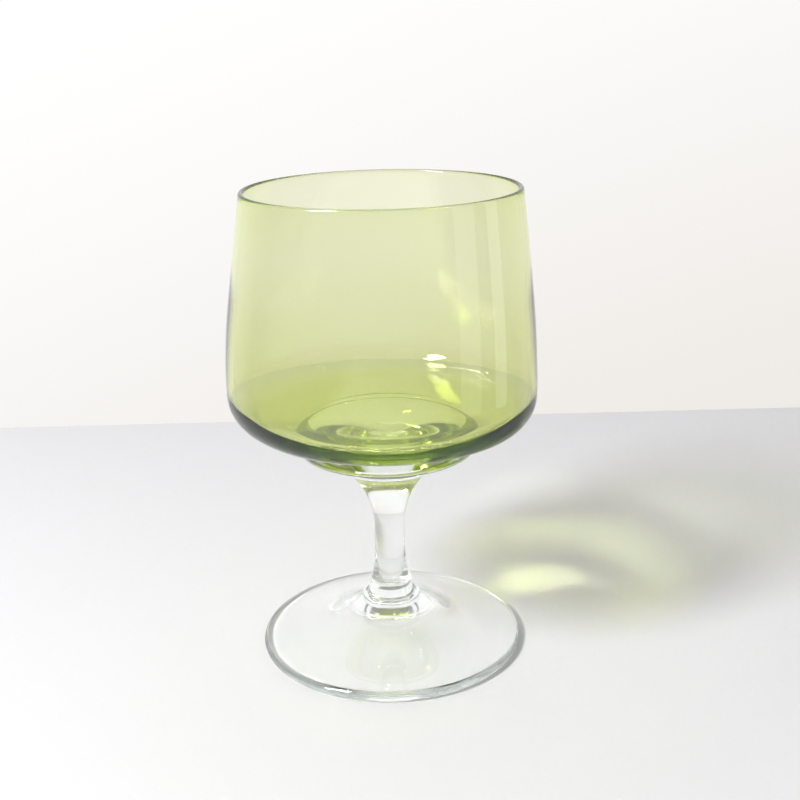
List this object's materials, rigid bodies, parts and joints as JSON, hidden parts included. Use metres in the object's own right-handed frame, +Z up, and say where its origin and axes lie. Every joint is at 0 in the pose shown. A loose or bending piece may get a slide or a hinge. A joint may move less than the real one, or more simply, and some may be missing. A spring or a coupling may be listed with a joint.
{
  "type": "wine glass",
  "caption": "Low stemmed wine glass: tinted rounded bowl tapering to the rim, clear disc, solid stem and round foot.",
  "frame": {"origin": "centre of the foot's resting plane, on the glass's axis", "axes": "+Z up along the axis through foot, stem and bowl; the glass is round, so X and Y are alike"},
  "size_m": [0.0776, 0.0776, 0.12],
  "materials": {
    "green_glass": "fire-polished, transparent, tinted through its whole thickness",
    "clear_glass": "fire-polished, transparent, colourless"
  },
  "bodies": {
    "root": {"bowl": "green_glass", "merese": "clear_glass", "stem": "clear_glass", "foot": "clear_glass"}
  },
  "joints": []
}
